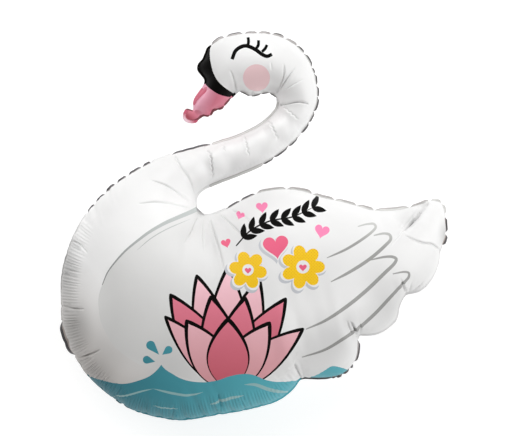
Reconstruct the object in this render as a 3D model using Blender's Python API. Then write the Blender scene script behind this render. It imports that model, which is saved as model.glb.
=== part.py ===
"""A swan balloon of metallised film, full of gas, lying on its back with its printed face up.

It is one welded envelope: a front film and a back film, joined all round by a narrow flat hem, and sealed.
X runs from the breast to the tail, Y from the belly to the crown, and Z out of the printed face. The origin
is on the surface that the balloon lies on, under the middle of its outline.
"""

import bmesh
import bpy
import numpy as np
from mathutils.geometry import delaunay_2d_cdt

# Driving sizes, in metres
HEIGHT = 0.800  # from the belly to the crown, hem to hem
HEM_WIDTH = 0.005  # the flat weld outside the gas
HEM_THICKNESS = 0.0008  # both films and the ripples in them, as one plate
PRESSED_FLAT = 0.012  # how far the back gives way where it lies

# The films stand away from each other as a round tube does where the outline is narrow. Where it is
# wide they stay a little flatter, by this share at the fattest place, as film that can't stretch does.
WIDE_FLATTENING = 0.13

# Spacing of the mesh, in metres
EDGE_STEP = 0.013
RIM_ROWS = ((0.003, 0.013), (0.010, 0.015), (0.022, 0.020))  # how far in from the hem, and the spacing there
FIELD_STEP = 0.025
FIELD_START = 0.036
CREASE_STEP = 0.014

# The outline, in hundredths of HEIGHT from its middle, anticlockwise, in runs that meet at corners
OUTLINE = {
    "beak_tip": [(-15.7, 29.9), (-16.7, 30.3), (-17.7, 29.3), (-18.0, 28.0), (-17.3, 26.8), (-15.8, 26.4),
                 (-14.1, 26.7), (-12.8, 28.1)],
    "beak_underside": [(-12.8, 28.1), (-11.4, 27.7), (-10.3, 28.1), (-9.3, 29.2), (-8.2, 29.7), (-6.6, 31.4),
                       (-4.7, 33.4)],
    "chin_and_throat": [(-4.7, 33.4), (-3.5, 34.2), (-0.8, 32.8), (3.9, 33.8), (6.0, 31.7), (3.1, 27.5),
                        (-3.5, 23.7), (-15.8, 20.1), (-21.1, 18.7)],
    "breast": [(-21.1, 18.7), (-27.3, 16.3), (-33.9, 12.3), (-39.7, 7.2), (-44.2, 1.4), (-47.5, -5.5),
               (-49.3, -12.7), (-49.4, -19.3), (-49.1, -25.5), (-47.1, -31.6)],
    "belly": [(-47.1, -31.6), (-42.7, -38.3), (-37.3, -43.3), (-31.6, -47.1), (-25.2, -49.1), (-18.8, -50.0),
              (-10.4, -48.8), (-1.7, -47.3), (6.0, -45.1), (9.9, -42.4), (12.1, -39.4)],
    "lowest_feather": [(12.1, -39.4), (17.5, -39.5), (22.4, -38.6), (25.4, -36.1), (27.0, -32.6),
                       (27.1, -28.5)],
    "middle_feather": [(27.1, -28.5), (31.8, -28.0), (35.2, -26.0), (37.0, -24.1), (37.5, -20.9),
                       (38.9, -18.0)],
    "upper_feather": [(38.9, -18.0), (42.9, -16.9), (45.9, -13.8), (47.6, -9.8), (47.9, -6.8)],
    "tail_tip": [(47.9, -6.8), (49.5, -3.0), (49.5, 1.4), (49.2, 5.0), (47.9, 6.7), (45.2, 7.0)],
    "back": [(45.2, 7.0), (40.3, 5.2), (31.4, 4.4), (23.7, 6.4), (17.3, 7.8), (12.7, 9.5), (3.5, 9.5),
             (-2.2, 7.5), (-7.6, 4.4)],
    "notch": [(-7.6, 4.4), (-11.9, 3.0), (-14.1, 3.8), (-14.6, 5.8), (-13.6, 8.4), (-10.6, 10.1)],
    "nape": [(-10.6, 10.1), (2.2, 15.4), (7.8, 18.9), (12.3, 23.3), (15.4, 27.9), (16.8, 33.2), (16.4, 38.3)],
    "crown": [(16.4, 38.3), (14.4, 43.1), (10.8, 47.0), (5.8, 49.4), (0.4, 50.0), (-5.0, 49.5), (-9.3, 48.2),
              (-11.0, 46.6)],
    "knob": [(-11.0, 46.6), (-12.9, 43.1), (-14.2, 42.0), (-14.5, 40.5), (-12.8, 37.8), (-12.6, 36.5)],
    "beak_ridge": [(-12.6, 36.5), (-13.8, 34.2), (-15.1, 32.0), (-15.7, 29.9)],
}

# The creases that cross the films where the outline turns inwards: where each is deepest, where it runs
# out, and its depth there, all in hundredths of HEIGHT
CREASES = {
    "neck_foot": [(-20.9, 18.2), (-15.0, 7.8), 0.9],
    "neck_low": [(-12.4, 19.6), (-10.6, 12.2), 0.7],
    "neck_mid": [(3.8, 26.8), (6.3, 21.4), 0.6],
    "neck_bend": [(6.6, 31.0), (15.0, 31.1), 1.0],
    "throat_front": [(-4.5, 34.6), (-6.0, 40.9), 0.7],
    "throat_mid": [(6.0, 34.0), (8.0, 42.0), 0.7],
    "throat_back": [(6.4, 33.6), (13.5, 38.6), 0.8],
    "notch_high": [(-15.6, 6.4), (-26.5, 11.7), 0.6],
    "notch_low": [(-15.4, 4.6), (-29.6, 5.5), 0.6],
    "notch_down": [(-13.0, 2.0), (-20.1, -11.9), 0.5],
    "tail_root": [(44.6, 6.2), (37.9, -2.2), 1.6],
    "tail_side": [(47.4, -6.4), (38.8, -2.7), 1.1],
    "upper_gap": [(38.6, -17.6), (36.5, -12.0), 0.9],
    "middle_gap": [(26.8, -28.2), (24.4, -22.4), 0.9],
    "lower_gap": [(11.8, -39.0), (9.0, -33.8), 0.9],
}
CREASE_HALF_WIDTH = 0.9  # hundredths of HEIGHT


def clear_scene():
    for obj in list(bpy.data.objects):
        bpy.data.objects.remove(obj, do_unlink=True)


def smooth_run(points, step):
    """Points along a smooth curve through a run's own points, without the last of them."""
    own = np.array(points, dtype=float)
    own = np.vstack([2 * own[0] - own[1], own, 2 * own[-1] - own[-2]])
    along = []
    for before, start, end, after in zip(own, own[1:], own[2:], own[3:]):
        knot_1 = np.linalg.norm(start - before) ** 0.5
        knot_2 = knot_1 + np.linalg.norm(end - start) ** 0.5
        knot_3 = knot_2 + np.linalg.norm(after - end) ** 0.5
        count = max(1, round(np.linalg.norm(end - start) / step))
        for t in np.linspace(knot_1, knot_2, count, endpoint=False):
            first = before + (start - before) * t / knot_1
            middle = start + (end - start) * (t - knot_1) / (knot_2 - knot_1)
            last = end + (after - end) * (t - knot_2) / (knot_3 - knot_2)
            left = first + (middle - first) * t / knot_2
            right = middle + (last - middle) * (t - knot_1) / (knot_3 - knot_1)
            along.append(left + (right - left) * (t - knot_1) / (knot_2 - knot_1))
    return along


def outline(step):
    """The whole outline as a closed polygon, in metres, with the middle of its box at the origin."""
    polygon = []
    for run in OUTLINE.values():
        sized = [(x / 100 * HEIGHT, y / 100 * HEIGHT) for x, y in run]
        polygon.extend(smooth_run(sized, step))
    polygon = np.array(polygon)
    return polygon - (polygon.min(axis=0) + polygon.max(axis=0)) / 2


def inset(polygon, distance):
    """Each corner of an anticlockwise polygon moved inwards, square to the edges that meet there."""
    edge = np.roll(polygon, -1, axis=0) - polygon
    edge /= np.linalg.norm(edge, axis=1)[:, None]
    inward = np.column_stack([-edge[:, 1], edge[:, 0]])
    joined = inward + np.roll(inward, 1, axis=0)
    joined /= np.linalg.norm(joined, axis=1)[:, None]
    spread = np.maximum((joined * inward).sum(axis=1), 0.6)
    return polygon + joined * (distance / spread)[:, None]


def distance_to(polygon, points):
    """How far each point is from a closed polygon."""
    start = polygon
    run = np.roll(polygon, -1, axis=0) - start
    nearest = np.full(len(points), np.inf)
    for corner, edge in zip(start, run):
        share = np.clip((points - corner) @ edge / (edge @ edge), 0, 1)
        gap = np.linalg.norm(points - corner - share[:, None] * edge, axis=1)
        nearest = np.minimum(nearest, gap)
    return nearest


def inside(polygon, points):
    """Whether each point is inside a closed polygon."""
    odd = np.zeros(len(points), dtype=bool)
    ends = np.roll(polygon, -1, axis=0)
    for (x0, y0), (x1, y1) in zip(polygon, ends):
        crosses = (points[:, 1] < y0) != (points[:, 1] < y1)
        if y0 != y1:
            odd ^= crosses & (points[:, 0] < x0 + (points[:, 1] - y0) * (x1 - x0) / (y1 - y0))
    return odd


def crease_lines():
    """Each crease's deep end, shallow end and depth, in metres."""
    for deep, shallow, depth in CREASES.values():
        yield (
            np.array(deep) / 100 * HEIGHT,
            np.array(shallow) / 100 * HEIGHT,
            depth / 100 * HEIGHT,
        )


def film_points(seam):
    """Where the films' mesh has its corners inside the hem: rows along the hem, creases, then a field."""
    chosen = np.empty((0, 2))

    def add(points, clearance):
        nonlocal chosen
        for point in points:
            if len(chosen) == 0 or np.linalg.norm(chosen - point, axis=1).min() > clearance:
                chosen = np.vstack([chosen, point])

    for distance, step in RIM_ROWS:
        row = inset(inset(outline(step), HEM_WIDTH), distance)
        row = row[inside(seam, row)]
        add(row[distance_to(seam, row) > 0.93 * distance], 0.45 * step)

    for deep, shallow, _ in crease_lines():
        along = shallow - deep
        length = np.linalg.norm(along)
        across = np.array([-along[1], along[0]]) / length * CREASE_HALF_WIDTH / 100 * HEIGHT
        for share in np.linspace(0, 1, max(3, round(length / CREASE_STEP))):
            trio = np.array([deep + share * along + side * across for side in (0, 1.2, -1.2)])
            trio = trio[inside(seam, trio)]
            add(trio[distance_to(seam, trio) > RIM_ROWS[0][0]], 0.40 * CREASE_STEP)

    columns = int(HEIGHT / FIELD_STEP)
    grid = np.array([
        ((column + 0.5 * (row % 2)) * FIELD_STEP, row * FIELD_STEP * 0.75**0.5)
        for row in range(-columns, columns + 1)
        for column in range(-columns, columns + 1)
    ])
    grid = grid[inside(seam, grid)]
    add(grid[distance_to(seam, grid) > FIELD_START], 0.6 * FIELD_STEP)
    return chosen


def triangulate(seam, within):
    """Triangles inside the seam, anticlockwise, over the seam's corners and then those within it."""
    points = np.vstack([seam, within])
    _, _, faces, source, _, _ = delaunay_2d_cdt(
        [tuple(point) for point in points], [], [list(range(len(seam)))], 1, 1e-7
    )
    order = [own[0] for own in source]
    triangles = np.array([[order[i] for i in face] for face in faces])
    a, b, c = (points[triangles[:, i]] for i in range(3))
    turned = (b[:, 0] - a[:, 0]) * (c[:, 1] - a[:, 1]) - (b[:, 1] - a[:, 1]) * (c[:, 0] - a[:, 0]) < 0
    triangles[turned] = triangles[turned][:, ::-1]
    return points, triangles


def tube_radius(points, triangles, fixed):
    """At each corner, the radius of the round tube that a narrow film would make there.

    A soap film over the same outline, under an even load, gives it: its height is half the square of
    the radius at the middle of a tube, and falls to nothing at the seam. The first corners are the seam.
    """
    count = len(points)
    stiffness = np.zeros((count, count))
    load = np.zeros(count)
    for triangle in triangles:
        corner = points[triangle]
        opposite = np.roll(corner, -1, axis=0) - np.roll(corner, 1, axis=0)
        doubled = opposite[0, 0] * opposite[1, 1] - opposite[0, 1] * opposite[1, 0]
        stiffness[np.ix_(triangle, triangle)] += opposite @ opposite.T / (2 * abs(doubled))
        load[triangle] += abs(doubled) / 6
    height = np.zeros(count)
    height[fixed:] = np.linalg.solve(stiffness[fixed:, fixed:], load[fixed:])
    return np.sqrt(2 * np.maximum(height, 0))


def crease_depth(points):
    """How far the creases pull the film in at each corner."""
    pulled = np.zeros(len(points))
    width = CREASE_HALF_WIDTH / 100 * HEIGHT
    for deep, shallow, depth in crease_lines():
        along = shallow - deep
        length = np.linalg.norm(along)
        along = along / length
        share = (points - deep) @ along / length
        across = (points - deep) @ np.array([-along[1], along[0]])
        before = np.exp(-((share * length / width) ** 2))
        past = np.where(share < 0, before, (1 - np.clip(share, 0, 1)) ** 1.5)
        pulled = np.maximum(pulled, depth * past * np.exp(-((across / width) ** 2)))
    return pulled


def film_depth(points, triangles, fixed):
    """How far each film stands from the plane of the hem, at each corner."""
    radius = tube_radius(points, triangles, fixed)
    depth = radius * (1 - WIDE_FLATTENING * radius / radius.max())
    return depth - np.minimum(crease_depth(points), 0.35 * depth)


def envelope_mesh(name):
    rim = outline(EDGE_STEP)
    seam = inset(rim, HEM_WIDTH)
    count = len(rim)
    points, triangles = triangulate(seam, film_points(seam))
    depth = film_depth(points, triangles, count)
    middle = HEM_THICKNESS / 2 + depth.max() - PRESSED_FLAT
    front = middle + HEM_THICKNESS / 2 + depth
    back = np.maximum(middle - HEM_THICKNESS / 2 - depth, 0)

    work = bmesh.new()
    front_film = [work.verts.new((x, y, z)) for (x, y), z in zip(points, front)]
    back_film = [work.verts.new((x, y, z)) for (x, y), z in zip(points, back)]
    front_rim = [work.verts.new((x, y, middle + HEM_THICKNESS / 2)) for x, y in rim]
    back_rim = [work.verts.new((x, y, middle - HEM_THICKNESS / 2)) for x, y in rim]
    for a, b, c in triangles:
        work.faces.new((front_film[a], front_film[b], front_film[c]))
        work.faces.new((back_film[c], back_film[b], back_film[a]))
    for here in range(count):
        there = (here + 1) % count
        work.faces.new((front_rim[here], front_rim[there], front_film[there], front_film[here]))
        work.faces.new((back_rim[there], back_rim[here], back_film[here], back_film[there]))
        work.faces.new((back_rim[here], back_rim[there], front_rim[there], front_rim[here]))
    mesh = bpy.data.meshes.new(name)
    work.to_mesh(mesh)
    work.free()
    mesh.shade_smooth()
    return mesh


def pearl_film():
    material = bpy.data.materials.new("pearl_white_film")
    material.use_nodes = True
    shader = material.node_tree.nodes["Principled BSDF"]
    shader.inputs["Base Color"].default_value = (0.84, 0.84, 0.85, 1)
    shader.inputs["Metallic"].default_value = 0.35
    shader.inputs["Roughness"].default_value = 0.34
    return material


def main():
    clear_scene()
    envelope = bpy.data.objects.new("balloon_envelope", envelope_mesh("balloon_envelope"))
    envelope.data.materials.append(pearl_film())
    bpy.context.scene.collection.objects.link(envelope)


main()
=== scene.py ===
"""The swan balloon as it looks: creased and puckered film, its print and hem, and a pale studio round it.

The film is made as the real one is. A flat blank is worked out that is large enough for the full shape, two
such blanks share one seam, and gas blows them up, so that puckers come where the flat film is in excess.
"""

import math

import bpy
import numpy as np
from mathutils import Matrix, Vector
from mathutils.bvhtree import BVHTree
from mathutils.geometry import delaunay_2d_cdt
from mathutils.kdtree import KDTree


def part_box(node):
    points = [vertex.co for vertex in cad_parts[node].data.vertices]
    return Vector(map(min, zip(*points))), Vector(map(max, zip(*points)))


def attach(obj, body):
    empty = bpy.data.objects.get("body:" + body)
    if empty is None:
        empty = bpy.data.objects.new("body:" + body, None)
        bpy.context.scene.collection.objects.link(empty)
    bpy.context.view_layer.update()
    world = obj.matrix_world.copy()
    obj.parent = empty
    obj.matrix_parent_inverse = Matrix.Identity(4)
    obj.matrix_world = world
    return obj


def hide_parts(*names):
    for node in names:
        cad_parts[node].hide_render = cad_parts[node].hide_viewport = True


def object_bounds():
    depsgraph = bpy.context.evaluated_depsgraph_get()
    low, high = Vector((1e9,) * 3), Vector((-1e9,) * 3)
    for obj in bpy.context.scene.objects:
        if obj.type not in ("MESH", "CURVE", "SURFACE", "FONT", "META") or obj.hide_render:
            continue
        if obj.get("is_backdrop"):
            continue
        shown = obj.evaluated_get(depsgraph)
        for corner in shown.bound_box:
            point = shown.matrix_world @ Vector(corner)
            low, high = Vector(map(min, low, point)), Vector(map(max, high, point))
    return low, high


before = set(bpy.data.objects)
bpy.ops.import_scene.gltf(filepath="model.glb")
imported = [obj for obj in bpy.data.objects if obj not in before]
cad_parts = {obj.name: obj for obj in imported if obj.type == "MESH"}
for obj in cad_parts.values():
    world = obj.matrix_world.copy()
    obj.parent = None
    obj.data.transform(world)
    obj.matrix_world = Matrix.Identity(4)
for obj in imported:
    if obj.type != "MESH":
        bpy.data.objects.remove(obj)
CAD_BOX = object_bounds()
LOWEST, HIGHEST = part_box("balloon_envelope")

# Driving sizes, in metres
HEIGHT = HIGHEST.y - LOWEST.y
HEM_WIDTH = 0.005
HEM_HALF_THICKNESS = 0.0003
HEM_FOLD = 1.35  # radians that it is turned to the back where it is folded
HEM_LEAN = 0.4  # and where it only leans
HEM_STAND_OFF = 0.0004  # half the solid's hem, which the film's middle is measured from
WIDE_FLATTENING = 0.13
RIB_SPACING = 0.0082  # from one fine rib along the seam to the next
RIB_HEIGHT = 0.0013
RIB_REACH = 0.050  # how far the longest ribs run in from the seam, in the plan
FILM_STEP = 0.0062  # the mesh that the gas blows up
PRESSED_SOFTLY = 0.004  # how gently the back film's roundness goes over into the part that lies flat

# Numbers that keep the working steady
ROW_PLAY = 0.9  # how near to the seam a row's corners may come, as a share of the row's own distance
LEAST_TURN = 0.6  # holds the stretch of outward directions at sharp corners
NO_AREA = 1e-13  # square metres, which twice a triangle's area has to be over
TINY = 1e-12  # which a length that is divided by has to be over
HAIR = 1e-9  # metres, added to a length that is divided by
DAMPING = 0.9  # the share of their speed that corners keep from one round to the next
LEAST_HALF_STROKE = 0.12  # pixels

# The photograph: pixels from the belly to the crown, and the pixel over the middle of the outline
PHOTO_TALL = 390.4
PHOTO_MIDDLE = (253.8, 225.6)
PHOTO_SIZE = (516, 436)
PIXEL = HEIGHT / PHOTO_TALL
CAMERA_HEIGHT = 3.4  # over the plane of the seam

# The outline, in hundredths of HEIGHT from its middle, anticlockwise, in runs that meet at corners
OUTLINE = {
    "beak_tip": [(-15.7, 30.0), (-16.8, 30.4), (-17.8, 29.5), (-18.2, 28.0), (-17.5, 26.6), (-15.8, 26.2),
                 (-14.1, 26.6), (-12.8, 28.1)],
    "beak_underside": [(-12.8, 28.1), (-11.5, 27.6), (-10.6, 28.2), (-9.9, 29.5), (-9.0, 29.5), (-8.0, 29.6),
                       (-6.6, 31.3), (-4.7, 33.4)],
    "chin_and_throat": [(-4.7, 33.4), (-3.5, 34.2), (-0.8, 32.8), (3.9, 33.8), (6.0, 31.7), (3.1, 27.5),
                        (-3.5, 23.7), (-15.8, 20.1), (-21.1, 18.7)],
    "breast": [(-21.1, 18.7), (-27.3, 16.3), (-33.9, 12.3), (-39.7, 7.2), (-44.2, 1.4), (-47.5, -5.5),
               (-49.3, -12.7), (-49.4, -19.3), (-49.1, -25.5), (-47.1, -31.6)],
    "belly": [(-47.1, -31.6), (-42.7, -38.3), (-37.3, -43.3), (-31.6, -47.1), (-25.2, -49.1), (-18.8, -50.0),
              (-10.4, -48.8), (-1.7, -47.3), (6.0, -45.1), (9.9, -42.4), (12.1, -39.4)],
    "lowest_feather": [(12.1, -39.4), (17.5, -39.5), (22.4, -38.6), (25.4, -36.1), (27.0, -32.6),
                       (27.1, -28.5)],
    "middle_feather": [(27.1, -28.5), (31.8, -28.0), (35.2, -26.0), (37.0, -24.1), (37.5, -20.9),
                       (38.9, -18.0)],
    "upper_feather": [(38.9, -18.0), (42.9, -16.9), (45.9, -13.8), (47.6, -9.8), (47.9, -6.8)],
    "tail_tip": [(47.9, -6.8), (49.5, -3.0), (49.5, 1.4), (49.2, 5.0), (47.9, 6.7), (45.2, 7.0)],
    "back": [(45.2, 7.0), (40.3, 5.2), (31.4, 4.4), (23.7, 6.4), (17.3, 7.8), (12.7, 9.5), (3.5, 9.5),
             (-2.2, 7.5), (-7.6, 4.4)],
    "notch": [(-7.6, 4.4), (-11.9, 3.0), (-14.1, 3.8), (-14.6, 5.8), (-13.6, 8.4), (-10.6, 10.1)],
    "nape": [(-10.6, 10.1), (2.2, 15.4), (7.8, 18.9), (12.3, 23.3), (15.4, 27.9), (16.8, 33.2), (16.4, 38.3)],
    "crown": [(16.4, 38.3), (14.4, 43.1), (10.8, 47.0), (5.8, 49.4), (0.4, 50.0), (-5.0, 49.5), (-9.3, 48.2),
              (-11.0, 46.6)],
    "knob": [(-11.0, 46.6), (-12.0, 45.9), (-12.5, 44.4), (-13.0, 43.0), (-14.0, 42.1), (-14.6, 40.8),
             (-14.4, 39.5), (-13.4, 38.4), (-12.7, 37.6), (-12.6, 36.5)],
    "beak_ridge": [(-12.6, 36.5), (-14.1, 34.5), (-15.5, 32.3), (-15.7, 30.0)],
}

# Inks of the hem, on its half by the seam and on its outer half, and the share of it that is the first. The
# hem is the film's silver
# flange: its darker inks are painted reflection and painted shade, and the rim kind takes the beak rim's
# painted highlight
HEM_KINDS = {
    "pale": ("hem_pale", "hem_light", 0.5),
    "flat": ("hem_light", "hem_pale", 0.25),
    "clear": ("hem_pale", "hem_pale", 0.5),
    "taupe": ("hem_taupe", "hem_dark", 0.6),
    "light_then_dark": ("hem_light", "hem_dark", 0.72),
    "lined": ("hem_pale", "hem_dark", 0.45),
    "dark": ("hem_light", "hem_dark", 0.3),
    "rim": ("beak_rim", "beak_rim", 0.5),
    "red": ("hem_red", "hem_red", 0.5),
    "teal": ("hem_teal", "hem_teal", 0.5),
}

# How uneven the hem's scallops are: where each ends, as a share of its length, how much of it has the first
# ink and how wide it is, as shares of the usual, and how it tilts, in radians
END_PLAY = (-0.26, 0.26)
PART_PLAY = (0.75, 1.2)
WIDTH_PLAY = (0.78, 1.12)
TILT_PLAY = (-0.2, 0.35)

# Where the hem stands out in scallops: a box of the photograph's pixels, the length of one scallop in
# metres, the share of it that shows from the front, its kind, and its width as a share of the usual one.
# Between the scallops the hem is folded to the back.
HEM_SCALLOPS = {
    "crown": ((211, 20, 330, 62), 0.034, 0.86, "light_then_dark", 1.0),
    "back_of_head": ((296, 40, 330, 100), 0.025, 0.86, "lined", 1.0),
    "neck_bend": ((300, 96, 330, 140), 0.024, 0.90, "lined", 1.1),
    "nape": ((262, 136, 322, 178), 0.030, 0.94, "lined", 1.1),
    "under_neck": ((208, 140, 262, 186), 0.200, 1.6, "flat", 1.4),
    "chin": ((238, 82, 278, 100), 0.022, 0.85, "lined", 0.8),
    "throat": ((212, 101, 280, 146), 0.300, 1.6, "clear", 1.2),
    "curl_top": ((187.5, 104, 193.4, 111.5), 0.050, 1.6, "red", 0.9),
    "curl": ((180, 111.5, 196.5, 124), 0.200, 1.6, "rim", 1.0),
    "curl_end": ((196.5, 114, 199, 122), 0.050, 1.6, "red", 0.45),
    "beak_underside": ((199, 97, 236, 122), 0.021, 0.95, "red", 1.0),
    "root_of_neck": ((170, 138, 212, 156), 0.100, 0.93, "dark", 1.0),
    "high_breast": ((78, 154, 152, 214), 0.030, 0.80, "dark", 1.1),
    "low_breast": ((54, 320, 78, 356), 0.075, 0.97, "taupe", 2.3),
    "belly": ((112, 398, 136, 414), 0.026, 0.95, "teal", 1.0),
    "start_of_back": ((226, 186, 256, 212), 0.034, 0.88, "dark", 1.0),
    "back": ((256, 180, 430, 216), 0.056, 0.93, "pale", 1.25),
    "top_of_tail": ((430, 190, 456, 215), 0.024, 0.84, "clear", 1.2),
    "tail_tip": ((430, 216, 456, 246), 0.030, 0.85, "taupe", 1.6),
    "lowest_feather": ((352, 338, 364, 366), 0.060, 0.85, "light_then_dark", 1.5),
    "lowest_edge": ((300, 367, 330, 392), 0.200, 1.6, "dark", 1.0),
    "lowest_teeth": ((330, 362, 352, 392), 0.012, 0.85, "dark", 1.2),
}

HEM_INKS = sorted({ink for inner, outer, _ in HEM_KINDS.values() for ink in (inner, outer)})

# How much of the puckers that the gas leaves stays, from none to one: a pixel, how far round it in
# pixels, and the share
PUCKERS = [
    ((70, 290), 50, 0.12), ((115, 392), 45, 0.5), ((200, 415), 60, 0.5), ((290, 395), 35, 0.5),
    ((240, 150), 60, 0.02), ((300, 110), 45, 0.05), ((255, 60), 50, 0.3), ((185, 175), 45, 0.06),
    ((225, 250), 55, 0.10), ((150, 280), 60, 0.10), ((330, 250), 80, 0.03), ((410, 250), 40, 0.35),
    ((100, 200), 40, 0.5), ((350, 330), 60, 0.04), ((212, 105), 30, 0.3), ((240, 330), 80, 0.08),
]

# How strong and long the fine ribs along the seam are, in the same way
RIBS = [
    ((64, 290), 60, 1.0), ((85, 365), 40, 1.0), ((150, 410), 55, 0.8), ((230, 412), 50, 1.0),
    ((290, 395), 25, 0.5), ((100, 200), 40, 0.35), ((250, 60), 80, 0.12), ((300, 110), 50, 0.12),
    ((230, 160), 50, 0.10), ((212, 105), 30, 0.05), ((330, 190), 80, 0.15), ((405, 290), 40, 0.4),
    ((345, 350), 40, 0.4), ((440, 220), 30, 0.3), ((190, 210), 25, 0.1),
]

# Creases, by their pixels in the photograph, with their depth in millimetres
FOLDS = [
    ([(427, 201), (415, 218), (404, 231)], 7.2),
    ([(418, 208), (410, 219), (401, 229)], 3.5),
]
CREASES = [
    ([(172, 152), (181, 166), (190, 180), (195, 195)], 2.4),
    ([(281, 105), (292, 102.5), (300, 102), (309, 104)], 4.8),
    ([(236, 90), (234, 80), (230, 70)], 1.8),
    ([(277, 92), (284, 75), (284, 64)], 2.2),
    ([(278, 92), (287, 79), (295, 68)], 2.2),
    ([(284, 90), (294, 84), (303, 79)], 0.9),
    ([(188, 200), (178, 193), (165, 185), (150, 180)], 1.8),
    ([(188, 208), (172, 204), (155, 202), (138, 204)], 1.6),
    ([(417, 214), (411, 222)], 3.6),
    ([(404, 230), (397, 238.5), (390, 247)], 0.9),
    ([(440, 250), (432, 244), (424, 243), (405, 236)], 2.4),
    ([(407, 294), (404, 287), (402, 280)], 2.2),
    ([(409, 293), (411, 288), (411, 282)], 1.2),
    ([(412, 292), (418, 288), (423, 283)], 1.2),
    ([(358, 337), (355, 329), (351, 322)], 3.4),
    ([(359, 335), (361, 329), (360, 323)], 1.3),
    ([(352, 333), (349, 327), (347, 321)], 1.2),
    ([(301, 378), (298, 371), (294.5, 364)], 3.6),
    ([(79, 358), (89, 355), (100, 350)], 2.8),
    ([(83, 397), (92, 392), (103, 390)], 1.6),
    ([(218, 396), (220, 404), (221, 412)], 2.0),
    ([(242, 402), (244, 406), (246, 410)], 1.4),
    ([(173, 407), (173, 413), (172, 418)], 1.4),
    ([(69, 240), (77, 243), (87, 253)], 1.6),
    ([(62, 306), (70, 308), (84, 309.5)], 2.2),
    ([(63, 269), (79, 273)], 1.2),
    ([(197, 219), (191, 232), (184, 243)], 1.2),
    ([(210, 219), (214.5, 235), (221, 256), (224, 272)], 1.5),
    ([(219, 214), (229, 222), (242, 235.5)], 1.2),
    ([(203, 220), (203, 236), (204, 250)], 0.9),
    ([(230, 209), (244, 216), (256, 226)], 1.0),
    ([(190, 110), (187, 113), (186.6, 117), (189.5, 119.6), (194, 120), (198, 118.5)], 0.4),
    ([(208, 88), (202, 94.5), (197, 101), (194, 106.5)], 1.5),
    ([(271, 63), (271.5, 70)], 0.8),
    ([(252, 96), (252.5, 90)], 1.0),
    ([(262, 95), (262, 89)], 1.0),
]
FOLD_HALF_WIDTH = 0.0042
CREASE_HALF_WIDTH = 0.0015
CRUMPLE_HALF_WIDTH = 0.0012
CREASE_RIDGE = 0.22  # how high the film stands on one side of a crease, as a share of its depth
CREASE_SHARPNESS = 2.2  # how much deeper a crease is made than the depth that shows of it

# Crumpled lines across the neck, which run in short steps to either side of these pixels
CRUMPLES = [
    ([(205, 147), (209.5, 154), (211, 165), (212, 178)], 2.6),
    ([(243.5, 136), (246, 146), (248, 156)], 1.8),
    ([(268, 121), (273, 130), (277, 139)], 2.2),
    ([(284, 108), (291, 114), (298, 120)], 0.9),
    ([(222, 144), (224, 151.5)], 0.9),
]
CRUMPLE_STEP = 5.0  # pixels from one turn of the line to the next
CRUMPLE_SWING = 1.7  # pixels to either side


def plan_of(pixels):
    """Pixels of the photograph as places in the plane of the seam, in metres."""
    return (np.array(pixels, dtype=float) - PHOTO_MIDDLE) * [PIXEL, -PIXEL]


PHOTO_CENTRE = plan_of((PHOTO_SIZE[0] / 2, PHOTO_SIZE[1] / 2))


def smooth_run(points, step):
    """Points along a smooth curve through a run's own points, without the last of them."""
    own = np.array(points, dtype=float)
    own = np.vstack([2 * own[0] - own[1], own, 2 * own[-1] - own[-2]])
    along = []
    for before, start, end, after in zip(own, own[1:], own[2:], own[3:]):
        knot_1 = np.linalg.norm(start - before) ** 0.5
        knot_2 = knot_1 + np.linalg.norm(end - start) ** 0.5
        knot_3 = knot_2 + np.linalg.norm(after - end) ** 0.5
        count = max(1, round(np.linalg.norm(end - start) / step))
        for t in np.linspace(knot_1, knot_2, count, endpoint=False):
            first = before + (start - before) * t / knot_1
            middle = start + (end - start) * (t - knot_1) / (knot_2 - knot_1)
            last = end + (after - end) * (t - knot_2) / (knot_3 - knot_2)
            left = first + (middle - first) * t / knot_2
            right = middle + (last - middle) * (t - knot_1) / (knot_3 - knot_1)
            along.append(left + (right - left) * (t - knot_1) / (knot_2 - knot_1))
    return along


def outline(step):
    """The whole outline as a closed polygon, in metres, with the middle of its box at the origin."""
    polygon = []
    for run in OUTLINE.values():
        polygon.extend(smooth_run([(x / 100 * HEIGHT, y / 100 * HEIGHT) for x, y in run], step))
    polygon = np.array(polygon)
    return polygon - (polygon.min(axis=0) + polygon.max(axis=0)) / 2


def lengths_along(polygon):
    """The length along a closed polygon at each corner, and its whole length."""
    reach = np.linalg.norm(np.roll(polygon, -1, axis=0) - polygon, axis=1)
    return np.concatenate([[0], np.cumsum(reach)[:-1]]), reach.sum()


def at_lengths(polygon, along, whole, wanted):
    """Each column of a closed polygon at the wanted lengths along it."""
    knots = np.append(along, whole)
    closed = np.vstack([polygon, polygon[:1]])
    return np.column_stack([np.interp(wanted, knots, column) for column in closed.T])


def resample(polygon, step):
    """A closed polygon with corners an even step apart."""
    along, whole = lengths_along(polygon)
    count = round(whole / step)
    return at_lengths(polygon, along, whole, np.arange(count) * whole / count)


def unit(vectors):
    """Vectors made one long; one without a length stays so."""
    return vectors / np.maximum(np.linalg.norm(vectors, axis=1), TINY)[:, None]


def outward(polygon):
    """The direction square to an anticlockwise polygon at each corner, out of it, stretched for corners."""
    edge = unit(np.roll(polygon, -1, axis=0) - polygon)
    square = np.column_stack([edge[:, 1], -edge[:, 0]])
    joined = unit(square + np.roll(square, 1, axis=0))
    return joined / np.maximum((joined * square).sum(axis=1), LEAST_TURN)[:, None]


def inset(polygon, distance):
    return polygon - outward(polygon) * distance


def evened(values, rounds):
    """Values round a closed line, each drawn towards its neighbours so many times."""
    for _ in range(rounds):
        values = (np.roll(values, 1, axis=0) + 2 * values + np.roll(values, -1, axis=0)) / 4
    return values


def eased(share):
    """A share from 0 to 1 that starts and ends softly."""
    return share * share * (3 - 2 * share)


def beside(line):
    """The direction square to an open line at each of its points."""
    way = unit(np.gradient(line, axis=0))
    return np.column_stack([way[:, 1], -way[:, 0]])


def tree_of(points):
    """Points of the plane, ready to be searched."""
    tree = KDTree(len(points))
    for index, (x, y) in enumerate(points):
        tree.insert((x, y, 0), index)
    tree.balance()
    return tree


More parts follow.
